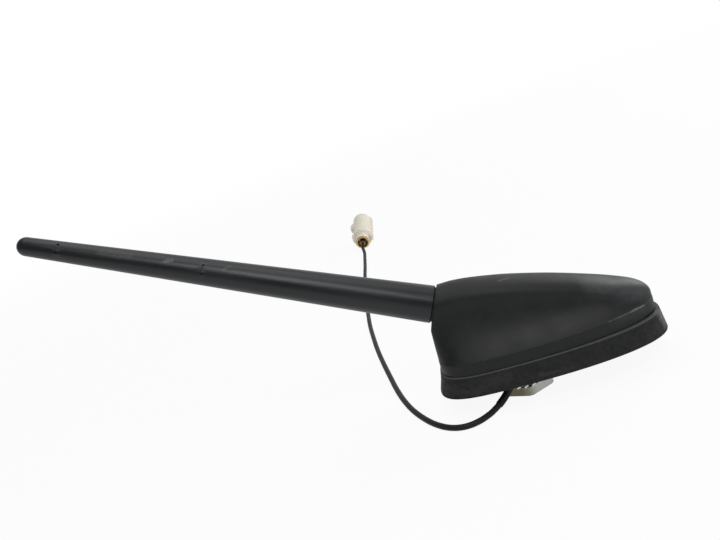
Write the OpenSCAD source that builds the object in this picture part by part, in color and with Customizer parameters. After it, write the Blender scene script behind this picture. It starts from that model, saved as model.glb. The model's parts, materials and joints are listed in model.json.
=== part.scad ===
// Roof antenna for a car, with a raked mast, a moulded base and a short coaxial lead.
// Millimetres. Z = 0 is the roof, +Z is up, +X points to the nose and the stud is at the origin.

/* [Base] */
// From the stud to the nose of the gasket
nose_reach = 57.4; // [54:0.5:62]
// From the stud to the tail of the gasket
tail_reach = 33; // [31.6:0.2:36]
// Width of the gasket
base_w = 42; // [40:0.5:46]
// Height of the gasket, from the roof to the seam under the cover
seam_h = 8.8; // [8:0.1:10]
// How far the foot of the gasket stands out at the nose
nose_flare = 2.6; // [1:0.1:4]
// How far the foot of the gasket stands out at the tail
tail_flare = 2.9; // [1:0.1:4]
// How far the foot of the gasket stands out along its sides
side_flare = 1.0; // [0.4:0.1:1.6]
// Thickness of the gasket's sole
sole_t = 2.3; // [1.6:0.1:2.8]
// Width of the gasket's rim under the edge of the cover
rim_w = 3.4; // [2.8:0.1:4]

/* [Cover] */
// Height of the upright brim along the foot of the cover
brim_h = 5; // [3.5:0.1:6]
// Wall of the cover
cover_wall = 2.2; // [1.5:0.1:2.6]
// Drop of the ridge from the collar to the nose
ridge_drop = 21.4; // [16:0.5:22]
// Half the width of the rounded ridge at its widest
ridge_half = 9.4; // [8:0.2:11]

/* [Mast] */
// Centre of the mast's joint ahead of the cover's tail
joint_ahead = 4.6; // [4:0.1:6]
// Centre of the mast's joint above the roof
joint_up = 33.6; // [31:0.2:36]
// Angle of the mast above the roof
mast_lean = 25.6; // [20:0.2:32]
// Length of the mast
mast_l = 172.5; // [150:0.5:220]
// Diameter of the mast at its root
mast_root_d = 15; // [14:0.1:16]
// Diameter of the mast at its tip
mast_tip_d = 8; // [7.4:0.1:10]
// Diameter of the glass fibre core
core_d = 4; // [3:0.1:4.4]
// Thickness of the wire winding
winding_t = 0.6; // [0.4:0.1:0.8]
// Diameter of the ferrule in the mast's root
ferrule_d = 10; // [9:0.1:11]
// Length of the ferrule
ferrule_l = 20; // [16:0.5:26]
// Diameter of the mast's screw thread
screw_d = 5; // [4:0.1:5.4]
// Length of the mast's screw thread
screw_l = 9; // [7:0.5:9.5]
// Diameter of the threaded socket
socket_d = 9; // [8:0.1:9.4]
// Length of the threaded socket
socket_l = 12; // [11:0.5:13]
// Thickness of the sealing ring in the joint
joint_ring_t = 0.5; // [0.3:0.1:0.8]

/* [Fixing] */
// Diameter of the threaded stud
stud_d = 14; // [12:0.1:14.2]
// Width of the nut across its flats
nut_af = 20; // [19.4:0.1:20.8]
// Thickness of the nut
nut_h = 3.8; // [3:0.1:4.4]
// Underside of the nut below the roof
nut_low = 9.6; // [9:0.1:10.4]
// Turn of the nut about the stud
nut_turn = 5; // [0:1:59]
// Diameter of the toothed lock washer
washer_d = 22.8; // [21:0.1:23.4]
// Thickness of the lock washer
washer_t = 1.2; // [0.8:0.1:1.4]
// Side of the square boss that fits the hole in the roof
boss_w = 14.8; // [14.6:0.1:15.4]
// Depth of the boss below the roof
boss_deep = 2.6; // [2:0.1:3]
// Thickness of the base plate
plate_t = 2.5; // [2:0.1:3]
// Height of the rim that locates the plate in the cover
plate_rim_h = 5.6; // [5:0.1:6.5]
// Diameter of the self-tapping screws in the cover
tapper_d = 3; // [2.5:0.1:3.2]

/* [Board] */
// Length of the circuit board
board_l = 42; // [36:0.5:43]
// Thickness of the circuit board
board_t = 1.6; // [1:0.1:2]
// Height of the pillars under the board
pillar_h = 3.7; // [3:0.1:4.5]
// Height of the shield over the amplifier
shield_h = 4; // [3:0.1:5]

/* [Lead] */
// Diameter of the coaxial lead
lead_d = 2.4; // [2:0.1:2.7]
// Diameter of the sleeve where the lead comes out
sleeve_d = 2.9; // [2.9:0.1:3.4]
// Diameter of the rubber boot in the base plate
boot_d = 5.2; // [4.8:0.1:5.6]

/* [Connector] */
// Diameter of the housing
plug_d = 15.2; // [14.8:0.1:17]
// Length of the housing
plug_l = 38; // [35:0.5:42]
// Diameter of the round collar at the housing's rear
plug_collar_d = 11.8; // [11.4:0.1:12.4]
// Outer diameter of the metal barrel
barrel_d = 10.2; // [9.6:0.1:10.4]
// Wall of the metal barrel
barrel_wall = 0.9; // [0.6:0.1:1.2]
// Diameter of the mouth for the mating plug
mouth_d = 12.6; // [12:0.1:13]
// Depth of the mouth
mouth_deep = 10.5; // [8:0.5:12]

/* [Fit] */
// Clearance round pieces that are pressed, moulded or screwed in
fit = 0.1; // [0.05:0.01:0.15]
// Clearance round pieces that drop in
slack = 0.3; // [0.2:0.05:0.4]

/* [Hidden] */
$fn = 48;
eps = 0.01;

// Plan of the base: a long rounded nose, which is blunter on the gasket, and a tail with rounded corners
widest_x = -0.28 * (tail_reach - tail_flare + 1);
nose_power = 2.25;
gasket_nose_power = 2.42;
tail_power = 4.5;
tail_narrowing = 0.15;
plan_steps = 96;

function unit(v) = v / norm(v);
function blend(a, b, t) = a + (b - a) * t;
function nose_at(inset) = nose_reach - nose_flare - inset;
function tail_at(inset) = tail_reach - tail_flare - inset;
function half_at(inset) = base_w / 2 - side_flare - inset;
joint_back = tail_at(joint_ahead);

// Half the width of the cover's foot at x
function foot_half(x, inset = 0) =
    let (q = x < widest_x
        ? min((widest_x - x) / (widest_x + tail_at(inset)), 1)
        : min((x - widest_x) / (nose_at(inset) - widest_x), 1),
        power = x < widest_x ? tail_power : nose_power,
        narrow = x < widest_x ? 1 - tail_narrowing * q * q : 1)
    half_at(inset) * narrow * pow(max(1 - pow(q, power), 0), 1 / power);

// One closed outline of the base, out of its nose, tail and half width
function plan(nose, tail, half, bluntness = nose_power) = [for (i = [0 : plan_steps - 1])
    let (a = (i + 0.5) * 360 / plan_steps,
        ahead = cos(a) > 0,
        power = ahead ? bluntness : tail_power,
        along = pow(abs(cos(a)), 2 / power),
        across = pow(abs(sin(a)), 2 / power) * sign(sin(a)),
        narrow = ahead ? 1 : 1 - tail_narrowing * along * along)
    [ahead ? widest_x + (nose - widest_x) * along : widest_x - (widest_x + tail) * along,
        half * across * narrow]];
function inset_plan(inset) = plan(nose_at(inset), tail_at(inset), half_at(inset));
function lift(outline, z) = [for (p = outline) [p[0], p[1], z]];

// Closed skin over loops of equal length, the last joined to the first
module wrap(loops) {
    n = len(loops[0]);
    m = len(loops);
    polyhedron(points = [for (l = loops) for (p = l) p],
        faces = [for (j = [0 : m - 1]) for (i = [0 : n - 1])
            let (a = j * n, b = ((j + 1) % m) * n, k = (i + 1) % n)
            each [[a + i, b + i, b + k], [a + i, b + k, a + k]]]);
}

// Gasket
// The skirt curves in from the foot to a ledge round the foot of the cover
ledge = 0.6;
nose_ledge = 1.4;
foot_round = 0.6;
ledge_round = 0.3;
skirt_steps = 5;
boss_hole_r = boss_w * sqrt(2) / 2 + slack;
// The lead's outlet is inside the plate's edge, and further back as the base gets narrower
exit_y = boot_d / 2 + 0.9 - half_at(rim_w + slack);
exit_x = 0.66 * base_w - 33.3;
function gasket_loop(inset, z) = lift(plan(nose_reach - inset[0], tail_reach - inset[1],
    base_w / 2 - inset[2], gasket_nose_power), z);
function skirt_loop(t) = gasket_loop([(nose_flare - nose_ledge) * t, (tail_flare - ledge) * pow(t, 0.8),
    (side_flare - ledge) * t * t], blend(foot_round, seam_h - ledge_round, t));
function ring_loop(r, z) = [for (i = [0 : plan_steps - 1])
    let (a = (i + 0.5) * 360 / plan_steps) [r * cos(a), r * sin(a), z]];

module gasket() color([0.13, 0.13, 0.13]) difference() {
    wrap(concat(
        [gasket_loop([foot_round, foot_round, foot_round], 0)],
        [for (i = [0 : skirt_steps]) skirt_loop(i / skirt_steps)],
        [gasket_loop([nose_flare - nose_ledge + ledge_round, tail_flare - ledge + ledge_round,
            side_flare - ledge + ledge_round], seam_h)],
        [lift(inset_plan(rim_w), seam_h)],
        [lift(inset_plan(rim_w), sole_t)],
        [ring_loop(boss_hole_r, sole_t)],
        [ring_loop(boss_hole_r, 0)]));
    translate([exit_x, exit_y, -1]) cylinder(d = boot_d + 2 * fit, h = sole_t + 2);
}

// Cover
crease_z = seam_h + brim_h;
brim_draft = 0.5;
crease_w = 0.7;
collar_r = mast_root_d / 2 + 0.5;
collar_half_h = collar_r * cos(mast_lean);
collar_top_z = joint_up + collar_half_h;
joint_foot_z = joint_up - collar_half_h;
ridge_flat_to = -17.5;
ridge_power = 1.42;
nose_fall = 9;
nose_fall_from = nose_at(0) - nose_fall;
cover_stations = 30;
flank_steps = 8;
ridge_steps = 7;
tail_cap = 0.996;
nose_cap = 0.998;

// Side view of the tail: hollow up to the joint, then square to the mast
tail_joint_x = -joint_back - collar_r * sin(mast_lean);
function tail_x(z, inset) =
    let (low = -tail_at(inset), join = tail_joint_x + inset,
        t = max(z - seam_h, 0) / (joint_foot_z - seam_h))
    z > joint_foot_z ? join + (z - joint_foot_z) * tan(mast_lean)
        : blend(low, join, pow(t, 1.6));

// Height of the ridge at x, with its fall at the nose
function ridge_z(x, inset) =
    let (run = nose_at(0) - ridge_flat_to,
        line = collar_top_z - ridge_drop * pow(max(x - ridge_flat_to, 0) / run, ridge_power),
        q = max(x - nose_fall_from, 0) / (nose_at(0) - nose_fall_from),
        fall = pow(max(1 - pow(q, 3.2), 0), 1 / 3.2))
    blend(crease_z, line, fall) - inset;

// One side of the cover's section, from its foot to its ridge
function cover_side(u, inset) =
    let (low_x = -tail_at(inset), high_x = nose_at(inset),
        w = (1 - cos(180 * u)) / 2,
        x = u == 0 ? widest_x - (widest_x - low_x) * tail_cap
            : u == 1 ? widest_x + (high_x - widest_x) * nose_cap
            : blend(low_x, high_x, w),
        lean = pow(max(1 - (x - low_x) / (20.5 - low_x), 0), 1.3),
        top_x = x + lean * (tail_x(collar_top_z, inset) - low_x),
        top = max(ridge_z(top_x, inset), crease_z - inset + 0.4),
        foot = max(foot_half(x, inset), 1.2),
        crease = max(foot - brim_draft - crease_w, 0.6),
        grow = min((top_x + joint_back) / 30, 1),
        ridge_r = min(blend(collar_r, ridge_half, grow) - inset * 0.9, crease * 0.74),
        ridge_h = min(blend(collar_half_h, 6.2, grow), (top - crease_z + inset) * 0.55),
        crease_top = min(crease_z, top - ridge_h - 0.1),
        bend = blend(1, 0.82, max(grow, 0)),
        out = crease - ridge_r,
        rise = top - ridge_h - crease_top)
    [for (p = concat(
        [[foot, seam_h], [foot - brim_draft, crease_top - 0.5], [crease, crease_top]],
        [for (k = [1 : flank_steps])
            let (t = k / flank_steps, s = 1 - t)
            [crease - out * (3 * s * s * t * 0.5 + 3 * s * t * t * 0.92 + t * t * t),
                crease_top + rise * (3 * s * s * t * 0.26 + 3 * s * t * t * 0.62 + t * t * t)]],
        [for (k = [1 : ridge_steps])
            let (a = 90 * k / ridge_steps)
            [ridge_r * pow(cos(a), bend), top - ridge_h + ridge_h * pow(sin(a), bend)]]))
        [x + lean * (tail_x(p[1], inset) - low_x), p[0], p[1]]];
function cover_ring(u, inset) =
    let (side = cover_side(u, inset), n = len(side))
    concat([for (p = side) [p[0], -p[1], p[2]]],
        [for (i = [n - 2 : -1 : 0]) side[i]]);

module cover_shell() {
    stations = [for (i = [0 : cover_stations]) i / cover_stations];
    outer = [for (u = stations) cover_ring(u, 0)];
    inner = [for (u = stations) cover_ring(u, cover_wall)];
    n = len(outer[0]);
    m = len(stations);
    far = m * n;
    last = (m - 1) * n;
    half = (n - 1) / 2;
    polyhedron(
        points = [for (rings = [outer, inner]) for (r = rings) for (p = r) p],
        faces = concat(
            [for (j = [0 : m - 2]) for (i = [0 : n - 2])
                let (a = j * n + i, b = a + n)
                each [[a, a + 1, b + 1], [a, b + 1, b],
                    [far + a, far + b + 1, far + a + 1], [far + a, far + b, far + b + 1]]],
            [for (j = [0 : m - 2]) let (a = j * n, b = a + n)
                each [[a, b, far + b], [a, far + b, far + a],
                    [a + n - 1, far + b + n - 1, b + n - 1],
                    [a + n - 1, far + a + n - 1, far + b + n - 1]]],
            [for (i = [0 : half - 1]) let (k = n - 1 - i)
                each [[i, k, i + 1], [far + i, far + i + 1, far + k],
                    [last + i, last + i + 1, last + k],
                    [far + last + i, far + last + k, far + last + i + 1]]],
            [for (i = [0 : half - 2]) let (k = n - 1 - i)
                each [[i + 1, k, k - 1], [far + i + 1, far + k - 1, far + k],
                    [last + i + 1, last + k - 1, last + k],
                    [far + last + i + 1, far + last + k, far + last + k - 1]]],
            [[0, far, far + n - 1], [0, far + n - 1, n - 1],
                [last, far + last + n - 1, far + last], [last, last + n - 1, far + last + n - 1]]));
}

// Places of the screws that hold the cover: x, y and the top of the column that takes them
column_r = 2.8;
tail_column_z = joint_foot_z - 8;
nose_column_x = nose_at(16.3);
nose_column_z = ridge_z(nose_column_x + column_r, cover_wall) + 1;
tail_column_x = -tail_at(9.5);
tail_column_y = 0.21 * base_w;
columns = [[tail_column_x, tail_column_y, tail_column_z], [tail_column_x, -tail_column_y, tail_column_z],
    [nose_column_x, 0, nose_column_z]];
plate_top = sole_t + plate_t;
module at_mast() translate([-joint_back, 0, joint_up]) rotate([0, mast_lean - 90, 0]) children();

module cover() color([0.11, 0.11, 0.12]) difference() {
    union() {
        cover_shell();
        at_mast() translate([0, 0, -socket_l + 0.5]) cylinder(d = socket_d + 3.4, h = socket_l - 1.2);
        for (c = columns) translate([c[0], c[1], plate_top + fit]) cylinder(r = column_r, h = c[2] - plate_top);
    }
    at_mast() translate([0, 0, -socket_l - 4]) cylinder(d = socket_d + 2 * fit, h = socket_l + 8);
    for (c = columns) translate([c[0], c[1], 0]) cylinder(d = tapper_d + 2 * fit, h = tapper_l + sole_t + 1);
}

// Base plate, die-cast, with its boss, rim and pillars
board_w = base_w - 16;
pillar_y = board_w / 2 - 4.5;
pillars = [[-11, pillar_y], [-11, 1 - pillar_y], [23, pillar_y], [23, -pillar_y]];
pillar_r = 2.4;
board_low = plate_top + pillar_h;
board_x = -15;
board_taper = 8;
board_taper_in = 2.4;
plate_rim_w = 1.5;
head_h = 1.1;
tapper_l = 12;
board_screw_d = 2.2;
module base_plate() color([0.62, 0.63, 0.64]) difference() {
    union() {
        translate([0, 0, sole_t]) linear_extrude(plate_t) polygon(inset_plan(rim_w + slack));
        translate([0, 0, plate_top - eps]) linear_extrude(plate_rim_h + eps) difference() {
            polygon(inset_plan(rim_w + slack));
            polygon(inset_plan(rim_w + slack + plate_rim_w));
        }
        translate([-boss_w / 2, -boss_w / 2, -boss_deep]) cube([boss_w, boss_w, sole_t + boss_deep + eps]);
        for (p = pillars) translate([p[0], p[1], plate_top - eps]) cylinder(r = pillar_r, h = pillar_h + eps);
    }
    translate([0, 0, -boss_deep - 1]) cylinder(d = stud_d - 2 + 2 * fit, h = plate_top + boss_deep + 2);
    translate([exit_x, exit_y, sole_t - 1]) cylinder(d = boot_d + 2 * fit, h = plate_t + 2);
    for (c = columns) translate([c[0], c[1], sole_t - 1]) {
        cylinder(d = tapper_d + 2 * slack, h = plate_t + 2);
        cylinder(d = 2 * tapper_d + 2 * fit, h = head_h + 1);
    }
    for (p = pillars) translate([p[0], p[1], sole_t + 0.6]) cylinder(d = board_screw_d + 2 * fit, h = plate_t + pillar_h);
}

// The stud is pressed through the plate and threaded below the boss
stud_low = nut_low - 0.4;
module mounting_stud() color([0.74, 0.72, 0.66]) {
    translate([0, 0, -boss_deep]) cylinder(d = stud_d - 2, h = plate_top + boss_deep + 0.6);
    translate([0, 0, -stud_low]) cylinder(d = stud_d, h = stud_low - boss_deep);
}

nut_r = nut_af / sqrt(3);
nut_chamfer = 0.5;
module nut() color([0.72, 0.71, 0.67]) translate([0, 0, -nut_low]) difference() {
    intersection() {
        rotate([0, 0, nut_turn]) rotate([0, 0, 30]) cylinder(r = nut_r, h = nut_h, $fn = 6);
        union() {
            cylinder(r1 = nut_r - nut_chamfer, r2 = nut_r + 0.05, h = nut_chamfer);
            translate([0, 0, nut_chamfer - eps]) cylinder(r = nut_r + 0.05, h = nut_h);
        }
    }
    translate([0, 0, -1]) cylinder(d = stud_d + 2 * fit, h = nut_h + 2);
}

// Toothed lock washer on the nut
washer_teeth = 24;
module lock_washer() color([0.8, 0.8, 0.78]) translate([0, 0, -nut_low + nut_h]) linear_extrude(washer_t) difference() {
    polygon([for (i = [0 : 2 * washer_teeth - 1])
        let (a = 180 * i / washer_teeth, r = washer_d / 2 - (i % 2) * 0.8) [r * cos(a), r * sin(a)]]);
    circle(d = stud_d + 2 * fit);
}

module cover_screws() color([0.7, 0.7, 0.7]) for (c = columns) translate([c[0], c[1], sole_t]) {
    cylinder(d = 2 * tapper_d, h = head_h);
    cylinder(d = tapper_d, h = tapper_l);
}

// Circuit board with the aerial amplifier under a shield
module circuit_board() color([0.1, 0.35, 0.2]) difference() {
    translate([board_x, 0, board_low]) linear_extrude(board_t) polygon([[0, board_w / 2], [0, -board_w / 2],
        [board_l - board_taper, -board_w / 2], [board_l, board_taper_in - board_w / 2],
        [board_l, board_w / 2 - board_taper_in], [board_l - board_taper, board_w / 2]]);
    for (p = pillars) translate([p[0], p[1], board_low - 1]) cylinder(d = board_screw_d + 2 * fit, h = board_t + 2);
}

shield_at = [4, -6];
shield_size = [16, 12];
shield_wall = 0.3;
module shield_can() color([0.8, 0.8, 0.8]) translate([shield_at[0], shield_at[1], board_low + board_t]) difference() {
    cube([shield_size[0], shield_size[1], shield_h]);
    translate([shield_wall, shield_wall, -1])
        cube([shield_size[0] - 2 * shield_wall, shield_size[1] - 2 * shield_wall, shield_h + 1 - shield_wall]);
}

module board_screws() color([0.75, 0.75, 0.72]) for (p = pillars) translate([p[0], p[1], board_low + board_t]) {
    cylinder(d = 4, h = 1.2);
    translate([0, 0, -board_t - pillar_h + 0.6]) cylinder(d = board_screw_d, h = board_t + pillar_h - 0.6 + eps);
}

// Leaf spring from the board up to the end of the mast's socket
spring_w = 4;
spring_t = 0.4;
spring_foot_x = -4;
spring_tip_x = -joint_back + (socket_l + fit) * cos(mast_lean);
spring_tip_z = joint_up - (socket_l + fit) * sin(mast_lean);
module contact_spring() color([0.75, 0.5, 0.25]) translate([0, spring_w / 2, 0]) rotate([90, 0, 0])
    linear_extrude(spring_w) {
        low = board_low + board_t;
        polygon([[spring_foot_x - 5, low], [spring_foot_x, low],
            [spring_tip_x + spring_t * 2.5, spring_tip_z + spring_t * 3],
            [spring_tip_x, spring_tip_z], [spring_tip_x + spring_t * 1.4, spring_tip_z],
            [spring_foot_x - 1.2, low + spring_t], [spring_foot_x - 5, low + spring_t]]);
    }

// Threaded socket in the cover's collar
module mast_socket() color([0.78, 0.62, 0.3]) at_mast() translate([0, 0, -socket_l]) difference() {
    cylinder(d = socket_d, h = socket_l);
    translate([0, 0, socket_l - screw_l - 1]) cylinder(d = screw_d + 2 * fit, h = screw_l + 2);
}

module joint_ring() color([0.05, 0.05, 0.05]) at_mast() difference() {
    cylinder(d = mast_root_d - 1.2, h = joint_ring_t);
    translate([0, 0, -1]) cylinder(d = ferrule_d + 2 * fit, h = joint_ring_t + 2);
}

// Mast: a glass fibre core wound with wire, a ferrule with its screw, and the moulded sheath
core_socket = 9;
core_from = ferrule_l + joint_ring_t - core_socket;
core_to = mast_l - 7;
winding_d = core_d + 2 * fit + 2 * winding_t;
module mast_ferrule() color([0.78, 0.62, 0.3]) at_mast() difference() {
    union() {
        translate([0, 0, -screw_l]) cylinder(d = screw_d, h = screw_l + joint_ring_t);
        cylinder(d = ferrule_d, h = ferrule_l + joint_ring_t);
    }
    translate([0, 0, core_from]) cylinder(d = core_d + 2 * fit, h = core_socket + 1);
}

module mast_core() color([0.85, 0.82, 0.7]) at_mast() translate([0, 0, core_from]) cylinder(d = core_d, h = core_to - core_from);

module mast_winding() color([0.75, 0.45, 0.25]) at_mast() translate([0, 0, ferrule_l + joint_ring_t + fit]) difference() {
    cylinder(d = winding_d, h = core_to - ferrule_l - 6);
    translate([0, 0, -1]) cylinder(d = core_d + 2 * fit, h = core_to);
}

// Small round marks that the mould's pins leave: how far up the mast, and the turn from its top
pin_marks = [[92.7, -42], [92.7, -79], [153.9, -31], [153.8, -80]];
pin_mark_d = 1;
tip_r = mast_tip_d / 2;
sheath_end = mast_l - tip_r;
tip_steps = 8;
module mast_sheath() color([0.09, 0.1, 0.11]) at_mast() difference() {
    rotate_extrude($fn = 64) polygon(concat(
        [[0, joint_ring_t], [mast_root_d / 2 - 0.3, joint_ring_t], [mast_root_d / 2, joint_ring_t + 0.3]],
        [for (k = [0 : tip_steps]) let (a = 90 * k / tip_steps)
            [k == tip_steps ? 0 : tip_r * cos(a), sheath_end + tip_r * sin(a)]]));
    translate([0, 0, -1]) cylinder(d = ferrule_d + 2 * fit, h = ferrule_l + joint_ring_t + 1 + fit);
    translate([0, 0, ferrule_l]) cylinder(d = winding_d + 2 * fit, h = core_to - ferrule_l + fit);
    for (p = pin_marks) rotate([0, 0, p[1]])
        translate([blend(mast_root_d / 2, tip_r, p[0] / sheath_end) - 0.6, 0, p[0]])
            rotate([0, 90, 0]) cylinder(d = pin_mark_d, h = 2);
}

// Lead: a boot through the plate, the tail up to the board, a sleeve and the lead on the ground
lead_r = lead_d / 2;
lead_z = -nut_low + lead_r;
boot_low = -1.2;
boot_high = plate_top + 1;
module lead_boot() color([0.06, 0.06, 0.06]) translate([exit_x, exit_y, boot_low]) difference() {
    cylinder(d = boot_d, h = boot_high - boot_low);
    translate([0, 0, -1]) cylinder(d = lead_d, h = boot_high - boot_low + 2);
}
module lead_tail() color([0.05, 0.05, 0.05]) translate([exit_x, exit_y, boot_low])
    cylinder(d = lead_d - 2 * fit, h = board_low - boot_low);

plug_turn = 2.4;
plug_step_z = 9;
latch_root_z = 14;
latch_tip_z = 30;
latch_rise = 5;
latch_w = 5.2;
plug_tilt = atan(latch_rise / (latch_tip_z - plug_step_z));
plug_floor = plug_d / 2 * cos(plug_tilt) - plug_step_z * sin(plug_tilt);
plug_at = [-103.5, 297.3, -nut_low + plug_floor];
plug_axis = [-sin(plug_turn) * cos(plug_tilt), cos(plug_turn) * cos(plug_tilt), sin(plug_tilt)];
lead_end_z = -2;
lead_end = plug_at + lead_end_z * plug_axis;

// Route of the lead from the boot: down to the ground, out in front, round the tail and away
lead_route = concat(
    [for (p = [[0, 0, 0], [-0.5, -0.1, -1.5], [-1.9, -0.4, -3.3], [-4, -1.3, -5.1],
            [-6.3, -2.9, -6.4], [-8.6, -4.8, -7.1]])
        p + [exit_x, exit_y, boot_low]],
    [for (p = [[-16, -19.6], [-20, -22.8], [-24.9, -24.4], [-30, -23.4], [-35.2, -19.7],
        [-40.8, -12.9], [-47, -2.3], [-52.1, 9.5], [-56.7, 23.2], [-60.9, 38], [-65.9, 56.1],
        [-71, 76.1], [-75.8, 97.8], [-79.2, 114.6], [-82.5, 134.4], [-86.8, 162.1], [-90.9, 192.7],
        [-94.1, 218.8], [-96.3, 238.9], [-98, 253], [-99.5, 265.1]]) [p[0], p[1], lead_z]],
    [[-100.8, 276.2, lead_z + 0.6], lead_end - 7 * plug_axis, lead_end]);

function spline_point(p, i, t) =
    let (n = len(p) - 1,
        a = i == 0 ? 2 * p[0] - p[1] : p[i - 1],
        b = p[i], c = p[i + 1],
        d = i + 2 > n ? 2 * p[n] - p[n - 1] : p[i + 2])
    0.5 * (2 * b + (c - a) * t + (2 * a - 5 * b + 4 * c - d) * t * t
        + (3 * b - a - 3 * c + d) * t * t * t);
function spline(p, parts) = concat(
    [for (i = [0 : len(p) - 2]) for (k = [0 : parts - 1]) spline_point(p, i, k / parts)],
    [p[len(p) - 1]]);

// One path for the sleeve and the lead, with the directions along it and across it at each point
lead_path = spline(lead_route, 2);
sleeve_turns = 8;
path_end = len(lead_path) - 1;
lead_ahead = [for (i = [0 : path_end]) i == 0 ? [0, 0, -1] : i == path_end ? plug_axis
    : unit(lead_path[i + 1] - lead_path[i - 1])];
lead_across = [for (i = 0, v = unit([0.66, -0.75, 0]); i <= path_end;
    v = unit(v - (v * lead_ahead[min(i + 1, path_end)]) * lead_ahead[min(i + 1, path_end)]), i = i + 1) v];

// Round tube along a stretch of the path
module tube(from, to, r, sides = 8) {
    n = to - from + 1;
    polyhedron(
        points = [for (i = [from : to]) for (k = [0 : sides - 1])
            let (a = (k + 0.5) * 360 / sides)
            lead_path[i] + r * (cos(a) * lead_across[i] + sin(a) * cross(lead_ahead[i], lead_across[i]))],
        faces = concat(
            [for (i = [0 : n - 2]) for (k = [0 : sides - 1])
                let (a = i * sides, b = a + sides, j = (k + 1) % sides)
                each [[a + k, b + k, b + j], [a + k, b + j, a + j]]],
            [[for (k = [0 : sides - 1]) k]],
            [[for (k = [sides - 1 : -1 : 0]) (n - 1) * sides + k]]));
}
module lead_sleeve() color([0.03, 0.03, 0.03]) tube(0, sleeve_turns, sleeve_d / 2);
module lead() color([0.04, 0.04, 0.04]) tube(sleeve_turns, path_end, lead_r);

// Connector: moulded housing with a latch, round a metal barrel
module at_plug() translate(plug_at) rotate([0, 0, plug_turn]) rotate([plug_tilt - 90, 0, 0]) children();
latch_run = latch_tip_z - latch_root_z;
rail_w = 4;
rail_out = 0.9;
catch_out = 2.4;
barrel_r = barrel_d / 2;
barrel_rear = -0.8;
barrel_end = plug_l - mouth_deep + 3;
core_r = barrel_r - barrel_wall;
module plug_housing() color([0.9, 0.87, 0.76]) at_plug() difference() {
    union() {
        // Collar, steps and body, with a rounded front edge
        rotate_extrude() polygon(concat([[0, 0.4], [plug_collar_d / 2 - 0.4, 0.4], [plug_collar_d / 2, 0.8],
            [plug_collar_d / 2, plug_step_z - 4]],
            [for (k = [0 : 2], q = [0, 1])
                [blend(plug_collar_d / 2, plug_d / 2, (k + 1) / 3), plug_step_z - 4 + (k + q) * 4 / 3]],
            [for (k = [0 : 4]) let (a = 22.5 * k)
                [plug_d / 2 - 1.6 + 1.6 * cos(a), plug_l - 1.6 + 1.6 * sin(a)]],
            [[0, plug_l]]));
        // Latch lever, which stands off on the side that faces the ground
        rotate([90, 0, 90]) translate([0, 0, -latch_w / 2]) linear_extrude(latch_w)
            polygon([[plug_d / 2 - 1, latch_root_z - latch_run / latch_rise],
                [plug_d / 2 + latch_rise, latch_tip_z], [plug_d / 2 + latch_rise - 1, latch_tip_z + 1.4],
                [plug_d / 2 - 1, latch_tip_z + 1.4]]);
        // Key rail along the right side
        translate([plug_d / 2 - 1, -rail_w / 2, 3]) cube([rail_out + 1, rail_w, plug_l - 5]);
        // Rib with a sloping end, and the catch, on the left side
        rotate([90, 0, 0]) translate([0, 0, -rail_w / 2]) linear_extrude(rail_w)
            polygon([[0.6 - plug_collar_d / 2, 3.6], [-plug_collar_d / 2 - 0.3, 3.6],
                [-plug_d / 2 - rail_out, 9], [-plug_d / 2 - rail_out, 14], [0.6 - plug_collar_d / 2, 18]]);
        rotate([90, 0, 0]) translate([0, 0, -rail_w / 2]) linear_extrude(rail_w)
            polygon([[1 - plug_d / 2, plug_l - 12], [-plug_d / 2 - catch_out + 0.4, plug_l - 12.6],
                [-plug_d / 2 - catch_out, plug_l - 11], [-plug_d / 2 - catch_out + 0.6, plug_l - 6],
                [1 - plug_d / 2, plug_l - 2]]);
    }
    translate([0, 0, -1]) cylinder(r = barrel_r + fit, h = plug_l);
    translate([0, 0, plug_l - mouth_deep]) cylinder(d = mouth_d, h = mouth_deep + 1);
}

module plug_barrel() color([0.8, 0.62, 0.3]) at_plug() difference() {
    translate([0, 0, barrel_rear]) cylinder(r = barrel_r, h = barrel_end - barrel_rear);
    translate([0, 0, barrel_rear - 1]) cylinder(r = core_r, h = barrel_end - barrel_rear + 2);
}

insulator_from = 6;
insulator_to = barrel_end - 2.5;
crimp_d = 4.2;
crimp_to = 9;
pin_d = 1.5;
module plug_insulator() color([0.85, 0.84, 0.8]) at_plug() translate([0, 0, insulator_from]) difference() {
    cylinder(r = core_r - fit, h = insulator_to - insulator_from);
    translate([0, 0, -1]) cylinder(d = crimp_d + 2 * fit, h = crimp_to - insulator_from + 1 + fit);
    translate([0, 0, -1]) cylinder(d = pin_d + 2 * fit, h = insulator_to + 2);
}
module plug_pin() color([0.85, 0.68, 0.3]) at_plug() translate([0, 0, crimp_to + fit]) cylinder(d = pin_d, h = barrel_end - crimp_to - 1);
module plug_crimp() color([0.7, 0.5, 0.25]) at_plug() translate([0, 0, lead_end_z]) cylinder(d = crimp_d, h = crimp_to - lead_end_z);

cover();
gasket();
base_plate();
mounting_stud();
nut();
lock_washer();
cover_screws();
circuit_board();
shield_can();
board_screws();
contact_spring();
mast_socket();
joint_ring();
mast_ferrule();
mast_core();
mast_winding();
mast_sheath();
lead_boot();
lead_tail();
lead_sleeve();
lead();
plug_housing();
plug_barrel();
plug_insulator();
plug_pin();
plug_crimp();
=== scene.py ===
import json
import math
import bpy
import bmesh
from mathutils import Matrix, Vector


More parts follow.
